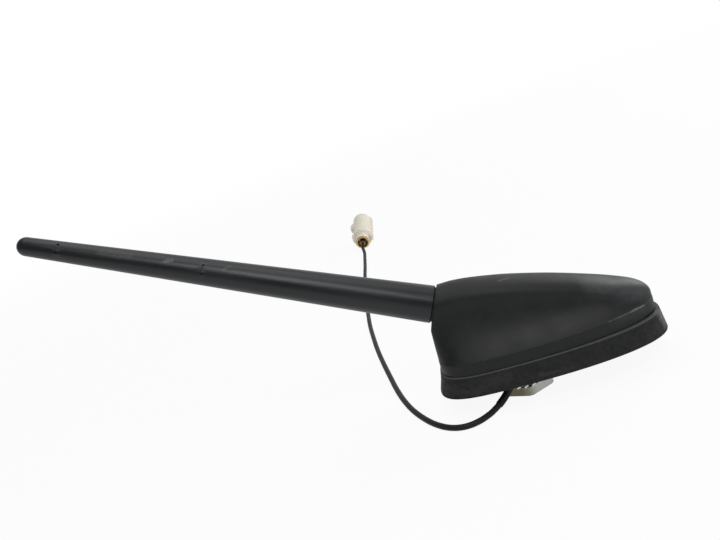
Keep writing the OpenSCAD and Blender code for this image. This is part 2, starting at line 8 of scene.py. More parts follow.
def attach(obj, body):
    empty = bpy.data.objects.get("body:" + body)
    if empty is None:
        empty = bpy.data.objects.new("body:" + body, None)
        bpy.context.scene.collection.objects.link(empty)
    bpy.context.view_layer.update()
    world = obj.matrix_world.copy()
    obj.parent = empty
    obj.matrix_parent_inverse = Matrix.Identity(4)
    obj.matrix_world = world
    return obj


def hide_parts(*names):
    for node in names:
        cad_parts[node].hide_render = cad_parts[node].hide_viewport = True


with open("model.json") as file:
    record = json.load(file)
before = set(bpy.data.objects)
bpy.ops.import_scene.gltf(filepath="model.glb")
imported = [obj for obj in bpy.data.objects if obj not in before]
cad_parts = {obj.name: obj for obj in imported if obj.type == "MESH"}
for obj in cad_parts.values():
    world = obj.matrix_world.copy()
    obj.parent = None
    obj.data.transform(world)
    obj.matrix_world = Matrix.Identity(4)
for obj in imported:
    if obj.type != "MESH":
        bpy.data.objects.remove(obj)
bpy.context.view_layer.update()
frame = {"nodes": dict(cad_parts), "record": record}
MM = 0.001


# The camera's two directions and its lens are fitted to the photo, and its place is in millimetres
VIEW_RIGHT, VIEW_UP = Vector((0.9373, 0.1131, -0.3297)), Vector((0.2819, 0.3102, 0.9079))
VIEW_FROM, LENS = Vector((12.6, -282.88, 133.49)), 38.0


def aim_camera():
    """The camera stands low beside the base, a little to the right, and is rolled to the left."""
    right, up = VIEW_RIGHT.normalized(), VIEW_UP
    back = right.cross(up).normalized()
    up = back.cross(right).normalized()
    data = bpy.data.cameras.new("photo_camera")
    data.sensor_width = 36
    data.lens = LENS
    data.clip_start = 0.01
    eye = bpy.data.objects.new("photo_camera", data)
    bpy.context.scene.collection.objects.link(eye)
    turn = Matrix((right, up, back)).transposed().to_4x4()
    eye.matrix_world = Matrix.Translation(VIEW_FROM * MM) @ turn
    bpy.context.scene.camera = eye


aim_camera()

# Sizes in millimetres, as the part has them
NOSE_REACH, TAIL_REACH, BASE_W, SEAM = 57.4, 33.0, 42.0, 8.8
NOSE_FLARE, TAIL_FLARE, SIDE_FLARE = 2.6, 2.9, 1.0
SOLE, RIM_W, BRIM_H, WALL = 2.3, 3.4, 5.0, 2.2
RIDGE_DROP, RIDGE_HALF = 21.4, 9.4
JOINT_BACK, JOINT_UP, LEAN = 25.5, 33.6, 25.6
ROOT_D = 15.0
STUD_D, STUD_LOW, BOSS_DEEP, PLATE_TOP = 14.0, 9.2, 2.6, 4.8
NUT_H, NUT_LOW = 3.8, 9.6
WASHER_D, WASHER_T, WASHER_TEETH, BOSS_W = 22.8, 1.2, 24, 14.8
LEAD_D, SLEEVE_D, BOOT_D = 2.4, 2.9, 5.2
EXIT = (-5.58, -12.8, -1.2)
WIDEST = -0.28 * (TAIL_REACH - TAIL_FLARE + 1)
NOSE_POWER, GASKET_NOSE_POWER, TAIL_POWER, TAIL_NARROWING = 2.25, 2.42, 4.5, 0.15
LEDGE, NOSE_LEDGE, FOOT_ROUND, LEDGE_ROUND = 0.6, 1.4, 0.6, 0.3
CREASE = SEAM + BRIM_H
COLLAR_R = ROOT_D / 2 + 0.5
COLLAR_HALF = COLLAR_R * math.cos(math.radians(LEAN))
COLLAR_TOP, JOINT_FOOT = JOINT_UP + COLLAR_HALF, JOINT_UP - COLLAR_HALF
RIDGE_FLAT_TO, RIDGE_POWER, NOSE_FALL, FALL_POWER = -17.5, 1.42, 9.0, 3.2
SLACK, SKIRT_TAIL_POWER, GASKET_LIP = 0.3, 0.8, 1.2
# The cover's sections: the share of its length where they start and that they span, the x where
# their lean towards the mast ends, and how it fades
SECTIONS_FROM, SECTIONS_SPAN, LEAN_ENDS, LEAN_FADE, TAIL_SWEEP = 0.0011, 0.9975, 20.5, 1.3, 1.6
# The brim: a small chamfer at its foot, its draft, the height where it turns in, and the crease's step
CHAMFER_W, CHAMFER_H, BRIM_DRAFT, BRIM_TURN, CREASE_STEP = 0.2, 0.25, 0.45, 0.6, 1.2
# The ridge: the run over which it grows from the collar, its height and roundness, and its largest shares
RIDGE_GROWS_OVER, RIDGE_H, RIDGE_BEND, RIDGE_SHARE_W, RIDGE_SHARE_H = 30, 6.2, 0.82, 0.74, 0.55
# The flank's curve: where its two middle points lie, inwards and upwards
FLANK_IN, FLANK_UP = (0.5, 0.92), (0.26, 0.62)
MAST_HOLE_R, MAST_HOLE_DEEP = 4.6, 12
PLUG_D, PLUG_TURN, PLUG_STEP = 15.2, math.radians(2.4), 9.0
LATCH_TIP, LATCH_RISE = 30.0, 5.0


# Meshes
def mesh_piece(name, points, faces, smooth=True, scale=MM):
    """A new object from points, in millimetres unless the scale says otherwise, and faces."""
    data = bpy.data.meshes.new(name)
    data.from_pydata([[c * scale for c in p] for p in points], [], faces)
    data.validate()
    piece = bpy.data.objects.new(name, data)
    bpy.context.scene.collection.objects.link(piece)
    for f in data.polygons:
        f.use_smooth = smooth
    return piece


def settle(piece, weld=0.0, flip=True, sharp=None):
    """Welds the mesh, turns its faces out and marks its sharp edges."""
    work = bmesh.new()
    work.from_mesh(piece.data)
    if weld:
        bmesh.ops.remove_doubles(work, verts=work.verts, dist=weld)
    if flip:
        bmesh.ops.recalc_face_normals(work, faces=work.faces)
    if sharp:
        for edge in work.edges:
            edge.smooth = len(edge.link_faces) == 2 and edge.calc_face_angle(0) < math.radians(sharp)
    for face in work.faces:
        face.smooth = True
    work.to_mesh(piece.data)
    work.free()
    piece.data.update()
    return piece


def apply_modifiers(piece):
    """Turns the piece into the plain mesh that its modifiers give."""
    bpy.context.view_layer.update()
    seen = piece.evaluated_get(bpy.context.evaluated_depsgraph_get())
    plain = bpy.data.meshes.new_from_object(seen)
    piece.modifiers.clear()
    piece.data = plain
    return piece


def round_edges(piece, width, angle=35, segments=2):
    """Rounds the sharp edges of a piece by that width in millimetres."""
    bevel = piece.modifiers.new("edge", "BEVEL")
    bevel.width = width * MM
    bevel.segments = segments
    bevel.limit_method = "ANGLE"
    bevel.angle_limit = math.radians(angle)
    apply_modifiers(piece)
    settle(piece, flip=False, sharp=40)
    # The flat faces keep their own normals, so that they stay flat to the light
    piece.modifiers.new("flat", "WEIGHTED_NORMAL").keep_sharp = True
    return apply_modifiers(piece)


def refined_copy(node, name, width, angle=35, segments=2):
    """A merged copy of a CAD node, its flat faces joined and its edges rounded."""
    piece = bpy.data.objects.new(name, frame["nodes"][node].data.copy())
    bpy.context.scene.collection.objects.link(piece)
    settle(piece, weld=0.00001, flip=False)
    work = bmesh.new()
    work.from_mesh(piece.data)
    bmesh.ops.dissolve_limit(work, angle_limit=math.radians(0.6), verts=work.verts, edges=work.edges)
    work.to_mesh(piece.data)
    work.free()
    if width:
        return round_edges(piece, width, angle, segments)
    return settle(piece, flip=False, sharp=angle)


def dress(piece, stuff, slot, *nodes):
    """Gives a piece its material, and puts it in place of its CAD nodes. The slot is not used."""
    piece.data.materials.clear()
    piece.data.materials.append(stuff)
    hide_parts(*nodes)
    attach(piece, "root")


def ring_faces(rings, sides, closed_loops=False):
    """Faces between rings of points, each ring closed round."""
    faces = []
    for j in range(rings if closed_loops else rings - 1):
        a, b = j * sides, ((j + 1) % rings) * sides
        for i in range(sides):
            k = (i + 1) % sides
            faces.append((a + i, a + k, b + k, b + i))
    return faces


def turned(name, profile, sides=96):
    """A turned piece from (radius, height) pairs round Z. A radius of 0 closes it in a pole."""
    points, faces, rows = [], [], []
    for r, z in profile:
        if r <= 1e-6:
            rows.append([len(points)])
            points.append((0, 0, z))
        else:
            rows.append(list(range(len(points), len(points) + sides)))
            points += [(r * math.cos(2 * math.pi * i / sides), r * math.sin(2 * math.pi * i / sides), z)
                       for i in range(sides)]
    for low, high in zip(rows[:-1], rows[1:]):
        for i in range(sides):
            k = (i + 1) % sides
            if len(low) == 1:
                faces.append((low[0], high[k], high[i]))
            elif len(high) == 1:
                faces.append((low[i], low[k], high[0]))
            else:
                faces.append((low[i], low[k], high[k], high[i]))
    return settle(mesh_piece(name, points, faces))


# The lead, before the other pieces
PLUG_TILT = math.atan(LATCH_RISE / (LATCH_TIP - PLUG_STEP))
PLUG_UP = PLUG_D / 2 * math.cos(PLUG_TILT) - PLUG_STEP * math.sin(PLUG_TILT)
PLUG_AT = Vector((-103.5, 297.3, -NUT_LOW + PLUG_UP))
PLUG_AXIS = Vector((-math.sin(PLUG_TURN) * math.cos(PLUG_TILT), math.cos(PLUG_TURN) * math.cos(PLUG_TILT),
                    math.sin(PLUG_TILT)))
LEAD_END = PLUG_AT - 2 * PLUG_AXIS
LEAD_Z = -NUT_LOW + LEAD_D / 2
ROUTE = [Vector(p) for p in [
    EXIT, (-6.08, -12.9, -2.7), (-7.48, -13.2, -4.5), (-9.58, -14.1, -6.3), (-11.88, -15.7, -7.6),
    (-14.18, -17.6, -8.3), (-16, -19.6, LEAD_Z), (-20, -22.8, LEAD_Z), (-24.9, -24.4, LEAD_Z),
    (-30, -23.4, LEAD_Z), (-35.2, -19.7, LEAD_Z), (-40.8, -12.9, LEAD_Z), (-47, -2.3, LEAD_Z),
    (-52.1, 9.5, LEAD_Z), (-56.7, 23.2, LEAD_Z), (-60.9, 38, LEAD_Z), (-65.9, 56.1, LEAD_Z),
    (-71, 76.1, LEAD_Z), (-75.8, 97.8, LEAD_Z), (-79.2, 114.6, LEAD_Z), (-82.5, 134.4, LEAD_Z),
    (-86.8, 162.1, LEAD_Z), (-90.9, 192.7, LEAD_Z), (-94.1, 218.8, LEAD_Z), (-96.3, 238.9, LEAD_Z),
    (-98, 253, LEAD_Z), (-99.5, 265.1, LEAD_Z), (-100.8, 276.2, LEAD_Z + 0.6), LEAD_END - 7 * PLUG_AXIS,
    LEAD_END]]
SLEEVE_SPANS = 4


def smooth_route(p, parts):
    """A curve through the route's points."""
    out, n = [], len(p) - 1
    for i in range(n):
        a = 2 * p[0] - p[1] if i == 0 else p[i - 1]
        b, c = p[i], p[i + 1]
        d = 2 * p[n] - p[n - 1] if i + 2 > n else p[i + 2]
        for k in range(parts):
            t = k / parts
            out.append(0.5 * (2 * b + (c - a) * t + (2 * a - 5 * b + 4 * c - d) * t * t
                              + (3 * b - a - 3 * c + d) * t ** 3))
    return out + [p[n]]


def tube_rings(path, ahead, r, sides):
    """Rings of points square to the path, one for each of its points, without twist."""
    rings, across = [], Vector((0.66, -0.75, 0)).normalized()
    for point, way in zip(path, ahead):
        across = (across - across.dot(way) * way).normalized()
        other = way.cross(across)
        rings.append([point + r * (math.cos(2 * math.pi * k / sides) * across
                                   + math.sin(2 * math.pi * k / sides) * other) for k in range(sides)])
    return rings


def cord_tube(name, path, r, first, last=None, sides=20, bore=None):
    """A closed tube along the path that starts and ends in those directions, hollow if it has a bore."""
    ahead = [(path[min(i + 1, len(path) - 1)] - path[max(i - 1, 0)]).normalized() for i in range(len(path))]
    ahead[0] = first
    ahead[-1] = last or ahead[-1]
    rings = tube_rings(path, ahead, r, sides)
    if bore:
        rings += tube_rings(path, ahead, bore, sides)[::-1]
        faces = ring_faces(len(rings), sides, closed_loops=True)
    else:
        faces = ring_faces(len(rings), sides)
        faces += [tuple(range(sides))[::-1], tuple(range((len(rings) - 1) * sides, len(rings) * sides))]
    return settle(mesh_piece(name, [p for ring in rings for p in ring], faces), sharp=50)


LEAD_PATH = smooth_route(ROUTE, 6)
lead = cord_tube("lead_jacket", LEAD_PATH, LEAD_D / 2, Vector((0, 0, -1)), PLUG_AXIS)
sleeve = cord_tube("lead_shrink_sleeve", LEAD_PATH[:SLEEVE_SPANS * 6 + 1], SLEEVE_D / 2, Vector((0, 0, -1)),
                   bore=LEAD_D / 2 + 0.02)


# Materials
def linear(code):
    """The linear colour of an sRGB hex value."""
    parts = [int(code[i:i + 2], 16) / 255 for i in (0, 2, 4)]
    return tuple(c / 12.92 if c <= 0.04045 else ((c + 0.055) / 1.055) ** 2.4 for c in parts) + (1.0,)


def add(tree, kind, inputs=None, out=0, **settings):
    """Adds a node and gives its output. An input is a value or another node's output."""
    made = tree.nodes.new(kind)
    for key, value in settings.items():
        setattr(made, key, value)
    for key, value in (inputs or {}).items():
        if isinstance(value, bpy.types.NodeSocket):
            tree.links.new(value, made.inputs[key])
        else:
            made.inputs[key].default_value = value
    return made.outputs[out] if made.outputs else None


def new_material(name):
    """An empty material and its node tree."""
    stuff = bpy.data.materials.new(name)
    stuff.use_nodes = True
    stuff.node_tree.nodes.clear()
    return stuff, stuff.node_tree


# A noise texture's values lie mostly between these
MIDDLE = {"From Min": 0.3, "From Max": 0.7}


def per_mm(size):
    """The texture scale whose features are about that size in millimetres."""
    return 1 / (size * MM)


# The marks laid here are stains, scuffs and dust, and on the cover also painted highlights and painted
# light
def stain_or_highlight(tree, place, ragged, start, end, reach):
    """1 near the line between two points, in millimetres, and 0 beyond its reach, with a ragged edge."""
    a, b = Vector(start) * MM, Vector(end) * MM
    way = b - a
    rag = min(reach, 1.5)
    from_a = add(tree, "ShaderNodeVectorMath", {0: place, 1: a}, operation="SUBTRACT")
    along = add(tree, "ShaderNodeVectorMath", {0: from_a, 1: way / way.length_squared}, "Value",
                operation="DOT_PRODUCT")
    along = add(tree, "ShaderNodeClamp", {0: along})
    near = add(tree, "ShaderNodeVectorMath", {0: way, "Scale": along}, operation="SCALE")
    off = add(tree, "ShaderNodeVectorMath", {0: from_a, 1: near}, operation="SUBTRACT")
    far = add(tree, "ShaderNodeVectorMath", {0: off}, "Value", operation="LENGTH")
    wobble = add(tree, "ShaderNodeMapRange", {"Value": ragged, "From Min": 0.25, "From Max": 0.75,
                                              "To Min": -0.5 * rag * MM, "To Max": 0.5 * rag * MM})
    far = add(tree, "ShaderNodeMath", {0: far, 1: wobble}, operation="ADD")
    return add(tree, "ShaderNodeMapRange", {"Value": far, "From Min": reach * MM,
                                            "From Max": 0.2 * reach * MM},
               interpolation_type="SMOOTHSTEP")


def with_stains_or_highlights(tree, base, place, ragged, marks):
    """The base colour with the marks over it: from, to, reach, colour and strength."""
    for start, end, reach, colour, strength in marks:
        there = stain_or_highlight(tree, place, ragged, start, end, reach)
        there = add(tree, "ShaderNodeMath", {0: there, 1: strength}, operation="MULTIPLY")
        base = add(tree, "ShaderNodeMix", {0: there, 6: base, 7: linear(colour)}, 2, data_type="RGBA")
    return base


# Marks that the photo shows: start and end and reach in millimetres, colour and strength
COVER_MARKS = [
    ((1.7, -4.1, 37.0), (5.2, -2.4, 36.6), 0.7, "4c4e4c", 0.7),
    ((43.8, -3.3, 23.7), (46.7, -4.8, 21.7), 0.9, "4a4640", 0.45),
    ((-25.5, -13.2, 17.2), (-25.0, -13.3, 17.0), 0.6, "3a3a38", 0.6),
    ((36.1, -8.3, 23.8), (36.9, -8.0, 23.6), 2.0, "2c2d2d", 0.4),
    ((40.7, -5.0, 24.5), (41.4, -4.8, 24.1), 2.0, "2c2d2d", 0.4),
    # Painted highlight: the ridge near the nose is painted paler
    ((36.0, -4.0, 27.0), (50.0, -3.0, 20.0), 9.0, "464849", 0.8),
    # Painted light: the lower hollow of the flank is painted lighter along its length, where it faces up
    ((-11.8, -14.9, 18.2), (18.6, -14.0, 17.2), 5.5, "2a2b28", 0.3),
    ((18.6, -14.0, 17.2), (33.9, -11.5, 17.0), 5.0, "2c2d2b", 0.45),
    # Painted highlight: a broad pale band along the crease near the nose, and over it the crease's thin
    # bright line
    ((38.0, -15.8, 13.4), (49.5, -9.5, 13.4), 3.0, "303234", 0.5),
    ((36.0, -14.6, 13.8), (44.0, -11.6, 13.8), 0.6, "5a5c5e", 0.6),
    ((44.0, -11.6, 13.8), (50.0, -8.4, 13.8), 0.6, "6a6c6e", 0.7)]
GASKET_MARKS = [
    ((14.2, -19.7, 2.2), (19.9, -19.2, 2.0), 1.3, "2f2821", 0.6),
    ((-23.7, -18.6, 2.6), (-17.5, -20.1, 2.5), 2.4, "343431", 0.5),
    ((6.5, -20.1, 3.0), (12.5, -19.8, 2.7), 1.4, "343431", 0.5),
    ((54.9, -5.4, 8.4), (55.6, -5.2, 3.8), 3.4, "76736c", 0.8),
    ((48.0, -11.0, 3.0), (54.0, -6.5, 4.0), 3.6, "302f2d", 0.5),
    ((-28.0, -16.0, 4.0), (-6.0, -20.6, 5.0), 4.0, "292a28", 0.5)]
MAST_MARKS = [
    ((-122.2, -4.0, 83.6), (-119.1, -3.1, 83.2), 1.2, "5a5c5a", 0.7),
    ((-100.1, -4.4, 73.4), (-97.5, -2.7, 73.7), 1.0, "4a4a47", 0.6),
    ((-146.4, -3.2, 95.3), (-135.0, -3.4, 90.0), 2.2, "3c3e3e", 0.5)]


def moulded_abs():
    """Black PC-ABS from a spark-eroded mould: a matt, finely pebbled skin with rubbed and dusty patches,
    and with painted highlights near the nose and painted light in the lower hollow.
    """
    stuff, tree = new_material("moulded_black_abs")
    place = add(tree, "ShaderNodeTexCoord", out="Object")
    cloud = add(tree, "ShaderNodeTexNoise", {"Vector": place, "Scale": per_mm(9), "Detail": 4}, "Fac")
    blot = add(tree, "ShaderNodeTexNoise", {"Vector": place, "Scale": per_mm(2.2), "Detail": 3}, "Fac")
    worn = add(tree, "ShaderNodeMapRange", {"Value": cloud, "From Min": 0.3, "From Max": 0.72},
               interpolation_type="SMOOTHSTEP")
    dusty = add(tree, "ShaderNodeMapRange", {"Value": blot, "From Min": 0.5, "From Max": 0.8,
                                             "To Max": 0.3},
                interpolation_type="SMOOTHSTEP")
    base = add(tree, "ShaderNodeMix", {0: worn, 6: linear("0f1010"), 7: linear("171918")}, 2,
               data_type="RGBA")
    base = add(tree, "ShaderNodeMix", {0: dusty, 6: base, 7: linear("232524")}, 2, data_type="RGBA")
    base = with_stains_or_highlights(tree, base, place, blot, COVER_MARKS)
    rough = add(tree, "ShaderNodeMapRange", {"Value": cloud, **MIDDLE, "To Min": 0.46, "To Max": 0.6})
    # The real grain is about 0.2 mm and is drawn twice as coarse, so that it shows
    grain = add(tree, "ShaderNodeTexNoise", {"Vector": place, "Scale": per_mm(0.42), "Detail": 2}, "Fac")
    relief = add(tree, "ShaderNodeBump", {"Height": grain, "Distance": 0.05 * MM, "Strength": 0.55})
    skin = add(tree, "ShaderNodeBsdfPrincipled", {"Base Color": base, "Roughness": rough, "Normal": relief,
                                                  "IOR": 1.4})
    add(tree, "ShaderNodeOutputMaterial", {"Surface": skin})
    return stuff


def pressed_epdm():
    """Black EPDM rubber, pressed in a mould: dull, with a dusty bloom, grey scuffs and brown stains, and a
    painted highlight along the ledge.
    """
    stuff, tree = new_material("pressed_epdm_rubber")
    place = add(tree, "ShaderNodeTexCoord", out="Object")
    turned_place = add(tree, "ShaderNodeMapping", {"Vector": place, "Location": (0.004, 0.009, 0.002)})
    cloud = add(tree, "ShaderNodeTexNoise", {"Vector": turned_place, "Scale": per_mm(7), "Detail": 4},
                "Fac")
    blot = add(tree, "ShaderNodeTexNoise", {"Vector": turned_place, "Scale": per_mm(1.6), "Detail": 3},
               "Fac")
    bloom = add(tree, "ShaderNodeMapRange", {"Value": cloud, "From Min": 0.32, "From Max": 0.7},
                interpolation_type="SMOOTHSTEP")
    base = add(tree, "ShaderNodeMix", {0: bloom, 6: linear("131414"), 7: linear("191b19")}, 2,
               data_type="RGBA")
    base = with_stains_or_highlights(tree, base, place, blot, GASKET_MARKS)
    # A painted highlight: the narrow ledge under the cover, which faces up, is painted pale as a light line
    height = add(tree, "ShaderNodeSeparateXYZ", {0: place}, "Z")
    ledge_highlight = add(tree, "ShaderNodeMapRange", {"Value": height, "From Min": (SEAM - 0.5) * MM,
                                                "From Max": (SEAM - 0.1) * MM, "To Max": 0.75},
                   interpolation_type="SMOOTHSTEP")
    base = add(tree, "ShaderNodeMix", {0: ledge_highlight, 6: base, 7: linear("545653")}, 2, data_type="RGBA")
    rough = add(tree, "ShaderNodeMapRange", {"Value": blot, **MIDDLE, "To Min": 0.62, "To Max": 0.82})
    pores = add(tree, "ShaderNodeTexNoise", {"Vector": place, "Scale": per_mm(0.6), "Detail": 3}, "Fac")
    relief = add(tree, "ShaderNodeBump", {"Height": pores, "Distance": 0.04 * MM, "Strength": 0.4})
    skin = add(tree, "ShaderNodeBsdfPrincipled", {"Base Color": base, "Roughness": rough, "Normal": relief,
                                                  "IOR": 1.4})
    add(tree, "ShaderNodeOutputMaterial", {"Surface": skin})
    return stuff


def satin_tpe():
    """Thermoplastic rubber moulded over the mast: satin, with faint streaks along it and rubbed marks."""
    stuff, tree = new_material("satin_moulded_tpe")
    place = add(tree, "ShaderNodeTexCoord", out="Object")
    # The second Mapping turns the mast upright, so that the streaks run along it
    along = add(tree, "ShaderNodeMapping", {"Vector": place, "Rotation": (0, math.radians(90 - LEAN), 0)})
    along = add(tree, "ShaderNodeMapping", {"Vector": along, "Scale": (1, 1, 0.08)})
    streak = add(tree, "ShaderNodeTexNoise", {"Vector": along, "Scale": per_mm(3), "Detail": 3}, "Fac")
    blot = add(tree, "ShaderNodeTexNoise", {"Vector": place, "Scale": per_mm(2.4), "Detail": 3}, "Fac")
    faded = add(tree, "ShaderNodeMapRange", {"Value": streak, **MIDDLE}, interpolation_type="SMOOTHSTEP")
    base = add(tree, "ShaderNodeMix", {0: faded, 6: linear("101214"), 7: linear("191c1f")}, 2,
               data_type="RGBA")
    base = with_stains_or_highlights(tree, base, place, blot, MAST_MARKS)
    rough = add(tree, "ShaderNodeMapRange", {"Value": streak, **MIDDLE, "To Min": 0.3, "To Max": 0.42})
    pores = add(tree, "ShaderNodeTexNoise", {"Vector": place, "Scale": per_mm(0.5), "Detail": 2}, "Fac")
    relief = add(tree, "ShaderNodeBump", {"Height": pores, "Distance": 0.03 * MM, "Strength": 0.35})
    skin = add(tree, "ShaderNodeBsdfPrincipled", {"Base Color": base, "Roughness": rough, "Normal": relief,
                                                  "IOR": 1.45})
    add(tree, "ShaderNodeOutputMaterial", {"Surface": skin})
    return stuff


def extruded_pvc():
    """Extruded PVC on the lead: black, smooth and glossy, with faint drag lines."""
    stuff, tree = new_material("glossy_black_pvc")
    place = add(tree, "ShaderNodeTexCoord", out="Object")
    blot = add(tree, "ShaderNodeTexNoise", {"Vector": place, "Scale": per_mm(4), "Detail": 2}, "Fac")
    base = add(tree, "ShaderNodeMix", {0: blot, 6: linear("17191b"), 7: linear("212426")}, 2,
               data_type="RGBA")
    rough = add(tree, "ShaderNodeMapRange", {"Value": blot, **MIDDLE, "To Min": 0.5, "To Max": 0.6})
    drag = add(tree, "ShaderNodeTexNoise", {"Vector": place, "Scale": per_mm(1.5), "Detail": 2}, "Fac")
    relief = add(tree, "ShaderNodeBump", {"Height": drag, "Distance": 0.02 * MM, "Strength": 0.3})
    skin = add(tree, "ShaderNodeBsdfPrincipled", {"Base Color": base, "Roughness": rough, "Normal": relief,
                                                  "IOR": 1.3})
    add(tree, "ShaderNodeOutputMaterial", {"Surface": skin})
    return stuff


def shrunk_polyolefin():
    """Heat-shrunk polyolefin sleeve: black, softly glossy and slightly wrinkled."""
    stuff, tree = new_material("heat_shrunk_polyolefin")
    place = add(tree, "ShaderNodeTexCoord", out="Object")
    wrinkle = add(tree, "ShaderNodeTexNoise", {"Vector": place, "Scale": per_mm(0.9), "Detail": 3}, "Fac")
    base = add(tree, "ShaderNodeMix", {0: wrinkle, 6: linear("050505"), 7: linear("0c0b0a")}, 2,
               data_type="RGBA")
    relief = add(tree, "ShaderNodeBump", {"Height": wrinkle, "Distance": 0.08 * MM, "Strength": 0.5})
    skin = add(tree, "ShaderNodeBsdfPrincipled", {"Base Color": base, "Roughness": 0.55, "Normal": relief,
                                                  "IOR": 1.33})
    add(tree, "ShaderNodeOutputMaterial", {"Surface": skin})
    return stuff


def zinc_plate(name, clean, dull_or_shade_colour, roughness, shade_side=None):
    """Zinc-plated steel, passivated: bright where it is fresh and tan-grey where it has dulled, and with a
    shade side given, painted tan-grey as shade on that side.
    """
    stuff, tree = new_material(name)
    place = add(tree, "ShaderNodeTexCoord", out="Object")
    cloud = add(tree, "ShaderNodeTexNoise", {"Vector": place, "Scale": per_mm(5), "Detail": 4}, "Fac")
    spangle = add(tree, "ShaderNodeTexVoronoi", {"Vector": place, "Scale": per_mm(1.1)}, "Distance")
    dull_or_shade_mask = add(tree, "ShaderNodeMapRange", {"Value": cloud, "From Min": 0.35, "From Max": 0.65},
                 interpolation_type="SMOOTHSTEP")
    if shade_side:
        # Painted shade: the part of the piece on that side is painted tan-grey, as its face lies in shade
        side = add(tree, "ShaderNodeVectorMath", {0: place, 1: shade_side}, "Value", operation="DOT_PRODUCT")
        side = add(tree, "ShaderNodeMapRange", {"Value": side, "From Min": -2 * MM, "From Max": 5 * MM},
                   interpolation_type="SMOOTHSTEP")
        dull_or_shade_mask = add(tree, "ShaderNodeMath", {0: side, 1: dull_or_shade_mask}, operation="MAXIMUM")
        dull_or_shade_mask = add(tree, "ShaderNodeMath", {0: dull_or_shade_mask, 1: side}, operation="MULTIPLY")
    base = add(tree, "ShaderNodeMix", {0: dull_or_shade_mask, 6: linear(clean), 7: linear(dull_or_shade_colour)}, 2, data_type="RGBA")
    rough = add(tree, "ShaderNodeMapRange", {"Value": spangle, "From Max": 0.7, "To Min": roughness - 0.05,
                                             "To Max": roughness + 0.1})
    relief = add(tree, "ShaderNodeBump", {"Height": spangle, "Distance": 0.03 * MM, "Strength": 0.3})
    skin = add(tree, "ShaderNodeBsdfPrincipled", {"Base Color": base, "Roughness": rough, "Normal": relief,
                                                  "Metallic": 1.0})
    add(tree, "ShaderNodeOutputMaterial", {"Surface": skin})
    return stuff


def turned_metal(name, light, dark, roughness):
    """Brass, gold plate or bronze, turned and tumbled: a warm shine with a fine haze."""
    stuff, tree = new_material(name)
    place = add(tree, "ShaderNodeTexCoord", out="Object")
    cloud = add(tree, "ShaderNodeTexNoise", {"Vector": place, "Scale": per_mm(3), "Detail": 3}, "Fac")
    haze = add(tree, "ShaderNodeTexNoise", {"Vector": place, "Scale": per_mm(0.4), "Detail": 2}, "Fac")
    base = add(tree, "ShaderNodeMix", {0: cloud, 6: linear(dark), 7: linear(light)}, 2, data_type="RGBA")
    rough = add(tree, "ShaderNodeMapRange", {"Value": cloud, **MIDDLE, "To Min": roughness,
                                             "To Max": roughness + 0.12})
    relief = add(tree, "ShaderNodeBump", {"Height": haze, "Distance": 0.02 * MM, "Strength": 0.3})
    skin = add(tree, "ShaderNodeBsdfPrincipled", {"Base Color": base, "Roughness": rough, "Normal": relief,
                                                  "Metallic": 1.0})
    add(tree, "ShaderNodeOutputMaterial", {"Surface": skin})
    return stuff


def ivory_nylon():
    """Natural nylon, injection moulded: ivory, waxy, and a little light passes through its thin walls."""
    stuff, tree = new_material("ivory_moulded_nylon")
    place = add(tree, "ShaderNodeTexCoord", out="Object")
    cloud = add(tree, "ShaderNodeTexNoise", {"Vector": place, "Scale": per_mm(6), "Detail": 3}, "Fac")
    base = add(tree, "ShaderNodeMix", {0: cloud, 6: linear("e8e1ce"), 7: linear("f0eada")}, 2,
               data_type="RGBA")
    rough = add(tree, "ShaderNodeMapRange", {"Value": cloud, **MIDDLE, "To Min": 0.36, "To Max": 0.5})
    flow = add(tree, "ShaderNodeTexNoise", {"Vector": place, "Scale": per_mm(0.8), "Detail": 2}, "Fac")
    relief = add(tree, "ShaderNodeBump", {"Height": flow, "Distance": 0.02 * MM, "Strength": 0.3})
    skin = add(tree, "ShaderNodeBsdfPrincipled", {
        "Base Color": base, "Roughness": rough, "Normal": relief, "IOR": 1.53, "Subsurface Weight": 0.25,
        "Subsurface Radius": (1.0, 0.8, 0.5), "Subsurface Scale": 0.002})
    add(tree, "ShaderNodeOutputMaterial", {"Surface": skin})
    return stuff


def plain_moulding(name, light, dark, roughness, size=3.0):
    """A moulded or pressed inner piece: even, with a slight mottle of that size."""
    stuff, tree = new_material(name)
    place = add(tree, "ShaderNodeTexCoord", out="Object")
    cloud = add(tree, "ShaderNodeTexNoise", {"Vector": place, "Scale": per_mm(size), "Detail": 3}, "Fac")
    grain = add(tree, "ShaderNodeTexNoise", {"Vector": place, "Scale": per_mm(size / 6), "Detail": 2},
                "Fac")
    base = add(tree, "ShaderNodeMix", {0: cloud, 6: linear(dark), 7: linear(light)}, 2, data_type="RGBA")
    rough = add(tree, "ShaderNodeMapRange", {"Value": cloud, **MIDDLE, "To Min": roughness - 0.05,
                                             "To Max": roughness + 0.08})
    relief = add(tree, "ShaderNodeBump", {"Height": grain, "Distance": 0.03 * MM, "Strength": 0.3})
    skin = add(tree, "ShaderNodeBsdfPrincipled", {"Base Color": base, "Roughness": rough, "Normal": relief,
                                                  "IOR": 1.5})
    add(tree, "ShaderNodeOutputMaterial", {"Surface": skin})
    return stuff


cover_stuff, gasket_stuff, mast_stuff = moulded_abs(), pressed_epdm(), satin_tpe()
lead_stuff, sleeve_stuff, nylon = extruded_pvc(), shrunk_polyolefin(), ivory_nylon()
